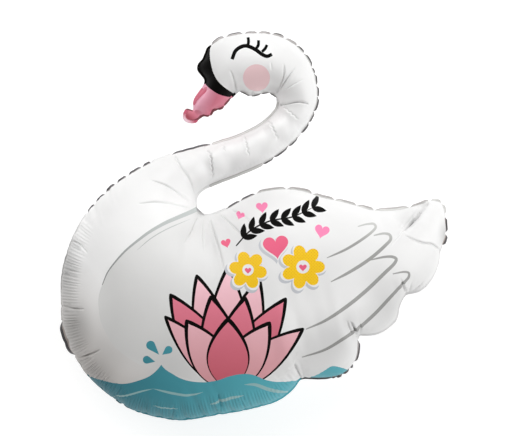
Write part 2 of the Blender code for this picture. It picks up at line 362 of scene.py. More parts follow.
def nearest(tree, points):
    """The index of the nearest point in the tree and the distance to it, for each point."""
    found = [tree.find((x, y, 0)) for x, y in points]
    return np.array([one[1] for one in found]), np.array([one[2] for one in found])


def inside(polygon, points):
    """Whether each point is inside a closed polygon."""
    within = ((points > polygon.min(axis=0)) & (points < polygon.max(axis=0))).all(axis=1)
    near = points[within]
    odd = np.zeros(len(near), dtype=bool)
    for (x0, y0), (x1, y1) in zip(polygon, np.roll(polygon, -1, axis=0)):
        if y0 != y1:
            crosses = (near[:, 1] < y0) != (near[:, 1] < y1)
            odd ^= crosses & (near[:, 0] < x0 + (near[:, 1] - y0) * (x1 - x0) / (y1 - y0))
    within[within] = odd
    return within


def well_inside(polygon, points, tree, gap):
    """The points that are inside a polygon and further than a gap from the tree's points."""
    points = points[inside(polygon, points)]
    return points[nearest(tree, points)[1] > gap]


class Spots:
    """Chosen points, kept in square cells so that a new one can be held clear of them."""

    def __init__(self, cell):
        self.cell = cell
        self.held = {}
        self.points = []

    def add(self, points, clearance):
        """Adds each point that is as far as the clearance from all that are there."""
        for x, y in points:
            column, row = int(x // self.cell), int(y // self.cell)
            close = (
                spot
                for i in (-1, 0, 1)
                for j in (-1, 0, 1)
                for spot in self.held.get((column + i, row + j), ())
            )
            if all((x - u) ** 2 + (y - v) ** 2 >= clearance**2 for u, v in close):
                self.held.setdefault((column, row), []).append((x, y))
                self.points.append((x, y))


def field_over(polygon, step):
    """Points of an even grid of triangles that fills a polygon's box."""
    low, high = polygon.min(axis=0), polygon.max(axis=0)
    rise = step * 0.75**0.5
    rows = range(math.floor(low[1] / rise), math.ceil(high[1] / rise) + 1)
    columns = range(math.floor(low[0] / step) - 1, math.ceil(high[0] / step) + 1)
    return np.array([((column + 0.5 * (row % 2)) * step, row * rise) for row in rows for column in columns])


def corners_of(points, triangles):
    """The places of all first, all second and all third corners."""
    return (points[triangles[:, i]] for i in range(3))


def doubled_area(a, b, c):
    """Twice the area of each triangle in the plane, below zero where it runs clockwise."""
    return (b[:, 0] - a[:, 0]) * (c[:, 1] - a[:, 1]) - (b[:, 1] - a[:, 1]) * (c[:, 0] - a[:, 0])


def edges_of(triangles):
    """Each edge once, as the numbers of its two corners."""
    pairs = np.vstack([triangles[:, [0, 1]], triangles[:, [1, 2]], triangles[:, [2, 0]]])
    return np.unique(np.sort(pairs, axis=1), axis=0)


def summed(index, vectors, count):
    """For each of count corners, the sum of the vectors that have its index."""
    return np.column_stack([np.bincount(index, column, count) for column in vectors.T])


def triangulate(points, loop, lines=()):
    """Triangles over the points inside a loop of the first of them, with the lines kept as edges."""
    edges = [pair for line in lines for pair in zip(line, line[1:])]
    corners, _, faces, source, _, _ = delaunay_2d_cdt(
        [tuple(point) for point in points], edges, [list(range(loop))], 1, 1e-7
    )
    corners = np.array([tuple(corner) for corner in corners])
    own = np.array([min(one) if one else -1 for one in source])
    triangles = np.array([tuple(face) for face in faces])
    # The loop's corners keep their places at the front, in their order
    order = np.argsort(np.where((own >= 0) & (own < loop), own, loop), kind="stable")
    place = np.empty(len(order), dtype=int)
    place[order] = np.arange(len(order))
    corners = corners[order]
    triangles = place[triangles]
    area = doubled_area(*corners_of(corners, triangles))
    triangles[area < 0] = triangles[area < 0][:, ::-1]
    return corners, triangles[np.abs(area) > NO_AREA]


# The full shape, on a coarse mesh

COARSE_SEAM = 0.011
COARSE_ROWS = (
    (0.0006, 0.012), (0.0022, 0.012), (0.005, 0.0125), (0.0095, 0.013), (0.0155, 0.015), (0.024, 0.018)
)
COARSE_FIELD = 0.020
COARSE_START = 0.036  # how far in from the seam the even field starts
COARSE_ROW_CLEARANCE = 0.62  # the least gap between corners, as a share of their row's step
COARSE_FIELD_CLEARANCE = 0.7  # and of the field's


def coarse_film():
    """The seam's number of corners, all corners and the triangles, which are fine at the steep seam."""
    fine = outline(0.001)
    seam = inset(resample(fine, COARSE_SEAM), HEM_WIDTH)
    dense = resample(inset(resample(fine, 0.002), HEM_WIDTH), 0.0015)
    tree = tree_of(dense)
    spots = Spots(COARSE_FIELD)
    spots.add(seam, 0)
    for distance, step in COARSE_ROWS:
        row = inset(resample(dense, step), distance)
        spots.add(well_inside(seam, row, tree, ROW_PLAY * distance), COARSE_ROW_CLEARANCE * step)
    field = well_inside(seam, field_over(seam, COARSE_FIELD), tree, COARSE_START)
    spots.add(field, COARSE_FIELD_CLEARANCE * COARSE_FIELD)
    return len(seam), *triangulate(spots.points, len(seam))


def tube_radius(points, triangles, fixed):
    """At each corner, the radius of the round tube that a narrow film would make there.

    A soap film over the same outline, under an even load, gives it: its height is half the square of
    the radius at the middle of a tube, and falls to nothing at the seam. The first corners are the seam.
    """
    count = len(points)
    doubled = doubled_area(*corners_of(points, triangles))
    load = np.zeros(count)
    one, other, pull = [], [], []
    for i in range(3):
        corner, near, far = (triangles[:, (i + k) % 3] for k in range(3))
        to_near, to_far = points[near] - points[corner], points[far] - points[corner]
        one.append(near)
        other.append(far)
        pull.append((to_near * to_far).sum(axis=1) / doubled / 2)
        load += np.bincount(corner, doubled / 6, count)
    one, other, pull = map(np.concatenate, (one, other, pull))
    own = np.bincount(one, pull, count) + np.bincount(other, pull, count)
    free = np.arange(count) >= fixed

    def pulled(height):
        across = np.bincount(one, pull * height[other], count) + np.bincount(other, pull * height[one], count)
        return np.where(free, own * height - across, 0)

    # Conjugate gradients
    height = np.zeros(count)
    left = np.where(free, load, 0)
    scaled = left / own
    way = scaled.copy()
    size = left @ scaled
    while size > 1e-18:
        answer = pulled(way)
        share = size / (way @ answer)
        height += share * way
        left -= share * answer
        scaled = np.where(free, left / own, 0)
        new_size = left @ scaled
        way = scaled + new_size / size * way
        size = new_size
    return np.sqrt(2 * np.maximum(height, 0))


FIRST_SPREAD = 1.25  # of the plan, which the laying flat starts from
LAYING_ROUNDS = 2000
LAYING_PACE = 1.6
LEAST_AREA = 0.45  # the share of its area that a triangle keeps


def laid_flat(flat, triangles, solid, give):
    """Moves the corners in the plane until no edge is shorter than it is on the full shape.

    A longer edge is drawn in by the share give alone, and no triangle may lose much more than half its area.
    """
    i, j = edges_of(triangles).T
    p, q, r = triangles.T
    count = len(flat)
    length = np.linalg.norm(solid[i] - solid[j], axis=1)
    least = LEAST_AREA * np.linalg.norm(np.cross(solid[q] - solid[p], solid[r] - solid[p]), axis=1)
    moved = np.concatenate([i, j, p, q, r])
    degree = np.bincount(moved, minlength=count)
    speed = np.zeros_like(flat)
    for _ in range(LAYING_ROUNDS):
        across = flat[j] - flat[i]
        now = np.linalg.norm(across, axis=1)
        error = (now - length) / now
        stretch = np.where(error < 0, error, give * error)[:, None] * across * 0.5
        a, b, c = flat[p], flat[q], flat[r]
        grow = [np.column_stack([v[:, 1] - w[:, 1], w[:, 0] - v[:, 0]]) for v, w in ((b, c), (c, a), (a, b))]
        steep = sum((one**2).sum(axis=1) for one in grow)
        short = np.minimum(np.maximum(least - doubled_area(a, b, c), 0) / steep, 1)[:, None]
        push = np.concatenate([stretch, -stretch] + [short * one for one in grow])
        speed = DAMPING * speed + summed(moved, push, count) * (LAYING_PACE / degree)[:, None]
        flat = flat + speed
    return flat


def smooth_closed(polygon, share):
    """A closed polygon with each edge cut into share parts along a smooth curve."""
    before, after, later = (np.roll(polygon, -k, axis=0) for k in (-1, 1, 2))
    parts = []
    for t in np.arange(share) / share:
        parts.append(0.5 * (
            2 * polygon + (after - before) * t + (2 * before - 5 * polygon + 4 * after - later) * t**2
            + (3 * polygon - before - 3 * after + later) * t**3
        ))
    return np.stack(parts, axis=1).reshape(-1, polygon.shape[1])


class Patch:
    """A flat mesh that carries values at its corners to any point of its plane."""

    def __init__(self, points, triangles):
        self.points = points
        self.triangles = triangles
        self.tree = BVHTree.FromPolygons([(x, y, 0) for x, y in points], triangles.tolist())

    def find(self, wanted):
        """The triangle under each point, or the nearest one, and the point's shares of its corners."""
        found = [self.tree.find_nearest((x, y, 0)) for x, y in wanted]
        index = np.array([one[2] for one in found])
        place = np.array([(one[0].x, one[0].y) for one in found])
        a, b, c = corners_of(self.points, self.triangles[index])
        doubled = doubled_area(a, b, c)
        second = doubled_area(a, place, c) / doubled
        third = doubled_area(a, b, place) / doubled
        return index, np.column_stack([1 - second - third, second, third])

    def carry(self, values, wanted):
        index, shares = self.find(wanted)
        return (values[self.triangles[index]] * shares[:, :, None]).sum(axis=1)


# The film under gas

ROUNDS = 1250
GAS_PUSH = 1.43e-4  # for each metre of the mesh's step
STIFFNESS = 0.004
SEAM_STIFFNESS = 0.12
EDGE_HOLD = 0.8
GATHER_START = 0.008  # how far in from the seam the film starts to resist being gathered
GATHERS = 0.040  # and how far in it may gather into ribs finer than this mesh
RESISTANCE = (0.15, 0.85)  # to being gathered, at the seam and well inside it
LEAST_EDGE = 1.002  # the least length of an edge, as a share of its length on the full shape
SEAM_HOLD = 0.5
SEAM_LIFT_HOLD = 0.01
SEAM_PLAY = 0.0006  # how far the seam may stray in its plane
UNEVENNESS = 0.0002
CALM_STEPS = (0.6, -0.58)  # in turn, so that what they smooth doesn't shrink
CALM_ROUNDS = 60


def vertex_normals(points, faces):
    """The direction square to the surface at each corner."""
    a, b, c = corners_of(points, faces)
    square = np.cross(b - a, c - a)
    return unit(sum(summed(faces[:, i], square, len(points)) for i in range(3)))


def pulls(ends, vectors, count):
    """The sum at each corner of its edges' vectors, each from its first end to its second."""
    return summed(ends, np.vstack([vectors, -vectors]), count)


def blown_up(blank, form, faces, seam_count, gap):
    """Both films under gas: edges keep the blank's lengths, and the seam stays near its place.

    gap is how far each corner is from the seam, in the blank.
    """
    random = np.random.default_rng(3)
    count = len(form)
    i, j = edges_of(faces).T
    ends = np.concatenate([i, j])
    degree = np.bincount(ends, minlength=count)[:, None]
    length = np.maximum(
        np.linalg.norm(blank[i] - blank[j], axis=1), LEAST_EDGE * np.linalg.norm(form[i] - form[j], axis=1)
    )
    resists = np.clip(((gap[i] + gap[j]) / 2 - GATHER_START) / GATHERS, *RESISTANCE)
    push = np.full((count, 1), GAS_PUSH * FILM_STEP)
    push[:seam_count] = 0
    points = form + random.normal(0, UNEVENNESS, form.shape) * [0.3, 0.3, 1]
    speed = np.zeros_like(points)
    for turn in range(ROUNDS):
        if turn % 10 == 0:
            normal = vertex_normals(points, faces)
        across = points[j] - points[i]
        now = np.sqrt(np.einsum("ij,ij->i", across, across)) + HAIR
        error = np.clip((now - length) / now, -0.5, 0.5)
        error *= np.where(error > 0, 1, resists)
        move = pulls(ends, error[:, None] * across, count) / degree * EDGE_HOLD
        if turn % 3 == 0:
            bend = pulls(ends, across, count) / degree
            move += 3 * STIFFNESS * np.einsum("ij,ij->i", bend, normal)[:, None] * normal
        move += push * normal
        speed = DAMPING * speed + move
        points = points + speed
        seam = points[:seam_count]
        seam += SEAM_STIFFNESS * ((np.roll(seam, 1, axis=0) + np.roll(seam, -1, axis=0)) / 2 - seam)
        astray = form[:seam_count] - seam
        apart = np.linalg.norm(astray[:, :2], axis=1)[:, None]
        seam[:, :2] += SEAM_HOLD * astray[:, :2] * np.maximum(1 - SEAM_PLAY / (apart + HAIR), 0)
        seam[:, 2] += SEAM_LIFT_HOLD * astray[:, 2]
    return points


def seen(points):
    """Where the camera sees points: their place in the plane of the seam, which it looks square at."""
    return PHOTO_CENTRE + (points[:, :2] - PHOTO_CENTRE) * (
        CAMERA_HEIGHT / (CAMERA_HEIGHT - np.abs(points[:, 2]))
    )[:, None]


def blended(plan, spots, rest):
    """At each point of the plan, the value that the spots round it give, and rest far from them all."""
    weight = np.full(len(plan), 1e-3)
    total = rest * weight
    for pixel, reach, value in spots:
        far = np.linalg.norm(plan - plan_of(pixel), axis=1) / (reach * PIXEL)
        near = np.exp(-(far**2))
        weight += near
        total += near * value
    return total / weight


class Film:
    """The two films as one mesh, and the flat blank that both were cut to."""

    def __init__(self):
        coarse_seam, points, triangles = coarse_film()
        radius = tube_radius(points, triangles, coarse_seam)
        depth = radius * (1 - WIDE_FLATTENING * radius / radius.max())
        solid = np.column_stack([points, depth])
        flat = points * FIRST_SPREAD
        for give in (0.12, 0.02):
            flat = laid_flat(flat, triangles, solid, give)
        self.depth = depth.max()

        # The same blank as an even fine mesh
        flat_line, plan_line = (smooth_closed(line[:coarse_seam], 8) for line in (flat, points))
        along, whole = lengths_along(flat_line)
        self.seam_count = seam = round(whole / FILM_STEP)
        wanted = np.arange(seam) * whole / seam
        flat_seam, plan_seam = (at_lengths(line, along, whole, wanted) for line in (flat_line, plan_line))
        tree = tree_of(flat_seam)
        field = well_inside(flat_seam, field_over(flat_seam, FILM_STEP), tree, 0.6 * FILM_STEP)
        self.flat, self.triangles = triangulate(np.vstack([flat_seam, field]), seam)
        front = Patch(flat, triangles).carry(solid, self.flat)
        front[:seam] = np.column_stack([plan_seam, np.zeros(seam)])

        # The back film has the front's corners mirrored, apart from the seam's, which it shares
        count = len(self.flat)
        self.to_back = np.concatenate([np.arange(seam), np.arange(count, 2 * count - seam)])
        blank = np.vstack([self.flat, self.flat[seam:]])
        form = np.vstack([front, front[seam:] * [1, 1, -1]])
        self.faces = np.vstack([self.triangles, self.to_back[self.triangles][:, ::-1]])
        gap = nearest(tree, self.flat)[1]
        gap[:seam] = 0
        self.points = blown_up(blank, form, self.faces, seam, np.append(gap, gap[seam:]))
        calm = self.without_puckers()
        self.points = calm + (self.points - calm) * blended(seen(calm), PUCKERS, 0.4)[:, None]
        self.prepare_middles()
        self.blank = Patch(self.flat, self.triangles)
        self.plan = Patch(seen(calm[:count]), self.triangles)

    def without_puckers(self):
        """The corners with the puckers smoothed away and the full shape kept."""
        i, j = edges_of(self.faces).T
        ends = np.concatenate([i, j])
        calm = self.points.copy()
        degree = np.bincount(ends, minlength=len(calm))[:, None]
        for turn in range(CALM_ROUNDS):
            move = pulls(ends, calm[j] - calm[i], len(calm))
            calm[self.seam_count:] += (CALM_STEPS[turn % 2] * move / degree)[self.seam_count:]
        return calm

    def prepare_middles(self):
        """A point in the middle of each edge, bowed out as the normals at its ends ask."""
        normal = vertex_normals(self.points, self.faces)
        edges = edges_of(self.faces)
        a, b = (self.points[edges[:, i]] for i in (0, 1))
        middle = (a + b) / 2
        bow = np.zeros_like(middle)
        for end, corner in ((0, a), (1, b)):
            square = normal[edges[:, end]]
            bow += 0.5 * ((corner - middle) * square).sum(axis=1)[:, None] * square
        limit = 0.2 * np.linalg.norm(a - b, axis=1)[:, None]
        size = np.linalg.norm(bow, axis=1)[:, None] + TINY
        self.middles = middle + 0.7 * bow * np.minimum(1, limit / size)
        self.codes = edges[:, 0] * len(self.points) + edges[:, 1]

    def edge_middles(self, one, other):
        low, high = np.minimum(one, other), np.maximum(one, other)
        return self.middles[np.searchsorted(self.codes, low * len(self.points) + high)]

    def placed(self, wanted, back):
        """Where points of the blank are on the front or back film, on a smooth surface over its mesh."""
        index, shares = self.blank.find(wanted)
        corners = self.triangles[index]
        if back:
            corners = self.to_back[corners]
        total = np.zeros((len(wanted), 3))
        for i in range(3):
            j = (i + 1) % 3
            own = shares[:, i]
            total += (own * (2 * own - 1))[:, None] * self.points[corners[:, i]]
            total += (4 * own * shares[:, j])[:, None] * self.edge_middles(corners[:, i], corners[:, j])
        return total

    def to_blank(self, plan):
        """Points of the plan, in metres, as points of the blank."""
        return self.plan.carry(self.flat, plan)


# The print, by its pixels in the photograph


def curve(points, step=1.25):
    """A smooth open line through a few pixels, its last one too."""
    return np.array(smooth_run(points, step) + [np.array(points[-1], dtype=float)])


def ribbon(line, half):
    """The outline of a band along a line, half as wide to each side at each of its points."""
    square = beside(line) * half[:, None]
    return np.vstack([line + square, (line - square)[::-1]])


def stroke(points, width, start=0.0, end=0.0):
    """A brush stroke along a smooth line, thinned to the shares start and end of its width at its ends."""
    line = curve(points)
    along = np.linalg.norm(np.diff(line, axis=0), axis=1)
    share = np.append(0, np.cumsum(along)) / along.sum()
    ease = 1 - np.abs(2 * share - 1) ** 3
    half = width / 2 * (np.where(share < 0.5, start, end) * (1 - ease) + ease)
    return ribbon(line, np.maximum(half, LEAST_HALF_STROKE))


def wedge(points, wide, narrow):
    """A line that runs evenly from one width at its start to another at its end."""
    line = curve(points)
    return ribbon(line, np.linspace(wide / 2, narrow / 2, len(line)))


def ring(turn):
    return np.column_stack([np.cos(turn), np.sin(turn)])


def full_turn(count):
    return np.linspace(0, 2 * math.pi, count, endpoint=False)


def disc(centre, radius):
    return np.array(centre) + radius * ring(full_turn(max(14, round(5 * radius))))


def turned(points, degrees):
    turn = math.radians(degrees)
    return points @ np.array([[math.cos(turn), math.sin(turn)], [-math.sin(turn), math.cos(turn)]])


def heart(centre, width, tilt=0):
    turn = full_turn(max(20, round(2.4 * width)))
    across = 16 * np.sin(turn) ** 3
    down = -(13 * np.cos(turn) - 5 * np.cos(2 * turn) - 2 * np.cos(3 * turn) - np.cos(4 * turn))
    return np.array(centre) + turned(np.column_stack([across, down]) * width / 32, tilt)


def blossom(centre, radius, petals, tilt=0):
    """A flower's outline with round petals."""
    turn = full_turn(round(5 * radius))
    reach = radius * (0.60 + 0.40 * np.abs(np.cos(petals * turn / 2)) ** 0.7)
    return np.array(centre) + turned(reach[:, None] * ring(turn), tilt)


def petal(base, tip, width, grown=0.0):
    """A leaf shape from base to tip, made larger all round by grown."""
    base, tip = np.array(base, dtype=float), np.array(tip, dtype=float)
    way = tip - base
    length = np.linalg.norm(way)
    way /= length
    square = np.array([way[1], -way[0]])
    share = np.linspace(0, 1, max(8, round(length / 2)))
    half = width / 2 * np.maximum(np.sin(math.pi * share**0.85), 0) ** 0.8 * (1 - 0.12 * share)
    half = np.maximum(half + grown, 0.05)[:, None]
    line = base + way * (share * (length + 3.0 * grown))[:, None]
    return np.vstack([line + square * half, (line - square * half)[::-1]])


def drop(tip, end, radius):
    """A drop of water with its point at tip and its round end at end."""
    tip, end = np.array(tip, dtype=float), np.array(end, dtype=float)
    back = math.degrees(math.atan2(*(end - tip)[::-1]))
    return np.vstack([tip, end + radius * ring(np.radians(np.linspace(-115, 115, 16) + back))])


# Rows of petals, the back ones first: the ink, and each petal's tip and width
LILY_BASE = (228, 388)
LILY = [
    ("pink_light", [((228, 268), 42), ((197, 277), 40), ((259, 280), 40)]),
    ("pink_deep", [((171, 296), 40), ((285, 300), 38)]),
    ("pink_light", [((166, 318), 28), ((302, 330), 32)]),
    ("pink_deep", [((211, 298), 40), ((245, 299), 40)]),
    ("pink_light", [((187, 322), 38), ((269, 324), 38)]),
    ("pink_deep", [((228, 320), 44)]),
]
LILY_LINE = 0.8  # pixels to either side of a petal's edge

# The leafy sprig, and the flowers: each one's middle, radius, number of petals and tilt
LEAF_LENGTH = 15
LEAF_WIDTH = 6.5
STEM = [(236, 246), (250, 231), (270, 221), (292, 217), (312, 208)]
FLOWERS = [((248, 270), 19, 6, 10), ((303, 267), 22, 7, 0)]

# How far the printed shadows are moved, and the hearts: ink, middle, width and tilt
SHADOW = np.array([-1.5, 2.2])
BIG_HEART = (276, 246)
SMALL_HEARTS = [
    ("heart_light", (240, 215), 9, 20), ("heart_light", (262, 207), 12, -6),
    ("heart_light", (322, 231), 15, 14), ("heart_pink", (226, 243), 10, -16),
]


def lily():
    """An open water lily with outlined petals."""
    for ink, petals in LILY:
        for tip, width in petals:
            yield "black", petal(LILY_BASE, tip, width, LILY_LINE)
            yield ink, petal(LILY_BASE, tip, width, -LILY_LINE)


def sprig():
    """A stem with a pair of leaves at each step along it."""
    yield "black", stroke(STEM, 1.6, 0.8, 0.3)
    line = curve(STEM, 12)
    for place, before, after in zip(line[1:], line, np.vstack([line[2:], line[-1:]])):
        way = (after - before) / np.linalg.norm(after - before)
        for side in (1, -1):
            leaf = way * 0.8 + side * np.array([way[1], -way[0]]) * 0.6
            yield "black", petal(place, place + LEAF_LENGTH * leaf, LEAF_WIDTH)


def flowers_and_hearts():
    """Yellow flowers and hearts, the large ones with white edges and grey shadows."""
    for centre, radius, petals, tilt in FLOWERS:
        yield "shadow_grey", blossom(centre + SHADOW, radius + 3, petals, tilt)
        yield "white", blossom(centre, radius + 2.4, petals, tilt)
        yield "yellow", blossom(centre, radius, petals, tilt)
        yield "white", disc(centre, 0.30 * radius)
        yield "heart_pink", heart(np.array(centre) + (0, 0.5), 0.36 * radius)
    for ink, centre, width in (
        ("shadow_grey", BIG_HEART + SHADOW, 31), ("white", BIG_HEART, 30), ("heart_pink", BIG_HEART, 25.5)
    ):
        yield ink, heart(centre, width, -8)
    for ink, centre, width, tilt in SMALL_HEARTS:
        yield ink, heart(centre, width, tilt)


# The closed eye's lid and lashes
LID = [(232, 59), (236, 50), (245, 45.5), (255, 49), (262, 54), (267, 56), (272, 54)]
LASHES = [
    [(248, 45), (248.5, 41), (248, 37)],
    [(256, 48.5), (258.2, 45), (258.5, 40)],
    [(262, 51.5), (265, 48.5), (267, 44.5)],
]


def eye_and_cheek():
    """The closed eye with its lashes, and the round cheek."""
    for points, width in [(LID, 3.8)] + [(lash, 3.0) for lash in LASHES]:
        yield "black", stroke(points, width, 0.9, 0.9)
    yield "cheek", disc((256.5, 77.5), 13.5)


# The neck's line on the body, and the rest of the edge of the part behind it that is a shade greyer
ARC = [(198, 208), (195, 210), (180, 216.5), (165, 223), (150, 231.5), (137, 241), (125, 251), (115, 262),
       (107, 273), (102, 285)]
ARC_GOES_ON = [(102, 285), (100, 290), (98, 300), (98.5, 310), (100, 320), (105, 332), (113, 345), (125, 356),
               (140, 365), (158, 371)]
TONE_ENDS = [(158, 371), (230, 386), (290, 370), (296, 300), (290, 230), (250, 212), (215, 212), (197, 207)]

# The wing's feather lines
FEATHERS = [
    [(327, 258), (345, 250), (360, 241), (372, 232), (376, 227), (374, 224), (368, 224), (358, 226.5)],
    [(331, 282), (350, 272), (370, 259), (385, 246), (391, 239), (390, 235), (385, 233.5), (374, 235.5)],
    [(306, 329.5), (325, 321), (345, 308), (365, 292), (385, 273), (395, 263), (396.5, 259), (393, 257),
     (385, 257), (371, 260)],
    [(302, 357.5), (325, 350), (345, 338), (358, 329), (375, 314), (390, 298), (402, 285), (409, 277),
     (409, 273), (405, 272), (393, 274)],
]

# Where the black band and the beak start, and the beak's curled tip, whose rim carries a painted highlight,
# with the painted shade of the fold inside it
BAND_TOP = [(211.5, 44.5), (210.2, 48.5), (209.8, 55), (210.8, 63), (213.9, 74), (219, 82), (227, 89),
            (235.5, 94.4)]
BEAK_TOP = [(204, 82.4), (208.5, 87.3), (214.5, 91.7), (221, 94.9), (231, 96.9), (236, 96)]
CURL = [(190.5, 106.5), (186, 106), (182, 110), (181, 118), (185, 124), (192, 125), (199, 123), (203, 117),
        (197, 115), (192, 110.5)]
CURL_INSIDE = [(190, 110.3), (187.5, 111.8), (186, 114.2), (186, 117), (188, 119.1), (192, 119.9),
               (196.5, 119.5), (200.6, 116.8)]

# The water's edge, the lighter lines on it with their widths, and the drops over it
WATER_LEFT = [(86, 375), (88, 376), (100, 380), (115, 383.5), (125, 384), (138, 381), (150, 376), (158, 369),
              (161, 365)]
WATER_RIGHT = [(161, 365), (165, 369.5), (172, 374), (180, 378.5), (190, 381.5), (205, 382.5), (218, 380.5),
               (228, 377), (240, 374.5), (250, 374.5), (258, 377), (265, 380), (275, 382), (285, 382),
               (301, 380)]
WATER_BEHIND = [(301, 379), (315, 376), (325, 370.5), (332, 366.5), (340, 367.5), (348, 370)]
WAVES = [
    ([(112, 396), (125, 396), (140, 392), (153, 389)], 1.8),
    ([(153, 389), (165, 392), (180, 395), (190, 395.5), (203, 392.5)], 2.4),
    ([(244, 385), (255, 385), (268, 389.5), (280, 392), (290, 392)], 3.4),
    ([(210, 405), (222, 401), (235, 397.5), (244, 396)], 2.8),
    ([(153, 406), (165, 408.5), (178, 409)], 1.2),
]
DROPS = [((159, 355), (150.5, 345.5), 4.5), ((162, 355), (168.5, 350), 3.8), ((155, 362), (146.5, 360), 3.9)]


def tone():
    """The body behind the neck, a shade greyer, which fades out towards the wing."""
    line = np.vstack([curve(ARC), curve(ARC_GOES_ON)])
    return np.vstack([line, curve(TONE_ENDS, 8)])


def front_print():
    """Each printed shape on the front, as (ink, pixels), later ones over earlier ones."""
    yield "tone", tone()
    yield "arc_grey", wedge(ARC, 4.6, 0.7)
    yield "arc_grey", stroke([(190, 219), (165, 230), (150, 239), (137, 250)], 0.9)
    for feather, width in zip(FEATHERS, (2.7, 3.4, 3.7, 3.4)):
        yield "feather_grey", stroke(feather, width, 0.25, 0.3)
    yield from lily()
    yield from sprig()
    yield from flowers_and_hearts()
    yield from eye_and_cheek()
    for tip, end, radius in DROPS:
        yield "teal", drop(tip, end, radius)


def print_of_both():
    """The shapes that both films have: the lines on the water, and on the beak painted shade along its edge,
    a painted highlight on the curled tip's rim and painted shade inside and under the curl.
    """
    for points, width in WAVES:
        yield "wave_light", stroke(points, width)
    # Painted shade along the beak's edge, the curl's rim with its painted highlight, painted shade inside the
    # curl and a dark pink wedge of painted shade under it
    yield "beak_edge", stroke([(207, 86.5), (200.5, 92.5), (195.2, 99), (193, 106)], 4.6, 0.2, 0.5)
    yield "beak_rim", np.array(CURL)
    yield "beak_deep", np.vstack([curve(CURL_INSIDE), curve([(203, 112.5), (199, 110), (194.5, 110)])])
    yield "hem_red", wedge([(190, 119.6), (194.5, 119.5), (197.6, 118), (200.6, 115.2)], 0.5, 1.9)


# Broad areas that reach the seam: the ink, and the line that ends them, in the seam's own order
AREAS = [
    ("black", curve(BAND_TOP)),
    ("beak", curve(BEAK_TOP)),
    ("teal", np.vstack([curve(WATER_LEFT), curve(WATER_RIGHT)])),
    ("teal", curve(WATER_BEHIND)),
]


# The finished mesh

# Rows of corners inside the seam: how far in they are, and the least step between them as a share of the
# seam's. The long rows are only where long ribs stand.
SHORT_ROWS = ((0.0022, 0.5), (0.0055, 0.5), (0.0100, 0.5), (0.0160, 0.5), (0.0230, 0.6), (0.0310, 1.4))
LONG_ROWS = tuple((0.0230 + 0.0085 * row, 0.45) for row in range(1, 13))
RIM_BAND = 0.033  # inside it the rows take the place of the film's own corners
SPOKE_STEP = 0.0025
LONG_RIBS = 0.5
FIELD_GAP = 0.0034  # the least gap between the film's own corners and the others
PRINT_STOPS = 0.0011  # how close to the seam the print's edges come before they run to its corners
CREASE_STOPS = 0.0015  # and how close the creases' corners come to it
CREASE_GAP = 0.0007
CELL = 0.004  # no gap asked for between corners is larger
CREASE_ROWS = (0, 0.0008, -0.0008, 0.0017, -0.0017, 0.003, -0.003, 0.005, -0.005)  # beside a crease
CREASE_MARGIN = 0.02  # how far from a crease the film is looked at
CREASES_FADE = 0.004  # how far in from the seam the creases get their full depth
AREA_OVERLAP = 0.004  # how far past the seam the broad areas reach
RIB_START = 0.006  # how far in from the seam the ribs get their full height
BACK_CREASES = 0.6  # the depth of the creases on the back film, as a share of the front's


class Seam:
    """The finished seam, with four corners to a rib, and what is known at each of them."""

    def __init__(self, film):
        flat_seam = film.flat[:film.seam_count]
        along, whole = lengths_along(flat_seam)
        self.count = 4 * round(whole / RIB_SPACING)
        # The ribs' widths differ a little
        uneven = 0.85 + 0.3 * np.repeat(np.random.default_rng(7).random(self.count // 4), 4)
        wanted = np.append(0, np.cumsum(uneven)[:-1]) * whole / uneven.sum()
        self.flat = at_lengths(flat_seam, along, whole, wanted)
        self.tree = tree_of(self.flat)
        self.inwards = -outward(evened(self.flat, 90))
        self.placed = film.placed(self.flat, False)
        self.strength = blended(self.placed[:, :2], RIBS, 0.2)

    def cut(self, line):
        """The parts of a line in the blank that are well inside the seam, run on to the seam's corners.

        Each is a list of points, with the number of the seam's corner where it meets one.
        """
        index, gap = nearest(self.tree, line)
        keep = inside(self.flat, line) & (gap > PRINT_STOPS)
        pieces, current = [], []
        for k, point in enumerate(line):
            if keep[k]:
                if not current and k > 0:
                    current.append(int(index[k - 1]))
                current.append(tuple(point))
            elif current:
                pieces.append(current + [int(index[k])])
                current = []
        return pieces + [current] if current else pieces

    def reach(self, line):
        """An area's line in the blank, carried on from both its ends to the nearest corners of the seam."""
        start, end = (
            np.linspace(self.flat[nearest(self.tree, point[None])[0][0]], point, 12, endpoint=False)
            for point in line[[0, -1]]
        )
        return np.vstack([start, line, end[::-1]])

    def area(self, line):
        """A line in the blank closed along the seam, just outside it, from its end back to its start."""
        first, last = nearest(self.tree, line[[0, -1]])[0]
        index = (last - np.arange((last - first) % self.count + 1)) % self.count
        return np.vstack([line, inset(self.flat, -AREA_OVERLAP)[index]])

    def spokes(self, flat):
        """At each point of the blank, the seam's corner whose spoke it is on, and its place among them."""
        deep = np.arange(0, LONG_ROWS[-1][0], SPOKE_STEP)
        places = (self.flat + self.inwards * deep[:, None, None]).reshape(-1, 2)
        found = nearest(tree_of(places), flat)[0]
        index = found % self.count
        across = places[found - index + (index + 1) % self.count] - places[found]
        part = ((flat - places[found]) * across).sum(axis=1) / (across**2).sum(axis=1)
        return index, index + np.clip(part, -0.5, 0.5)

    def add_rows(self, spots):
        """Adds corners in rows along the seam, on the ribs' ridges, sides and valleys."""
        for rows, own in ((SHORT_ROWS, self.strength > 0), (LONG_ROWS, self.strength > LONG_RIBS)):
            for distance, clearance in rows:
                row = (self.flat + self.inwards * distance)[own]
                row = well_inside(self.flat, row, self.tree, ROW_PLAY * distance)
                spots.add(row, clearance * RIB_SPACING / 4)


def crumpled(pixels):
    """A line that swings to either side of the smooth one through the pixels, with sharp turns."""
    line = curve(pixels, 1.0)
    phase = np.arange(len(line)) / CRUMPLE_STEP % 1
    swing = CRUMPLE_SWING * np.where(phase < 0.7, phase / 0.7, (1 - phase) / 0.3)
    return line + beside(line) * swing[:, None]


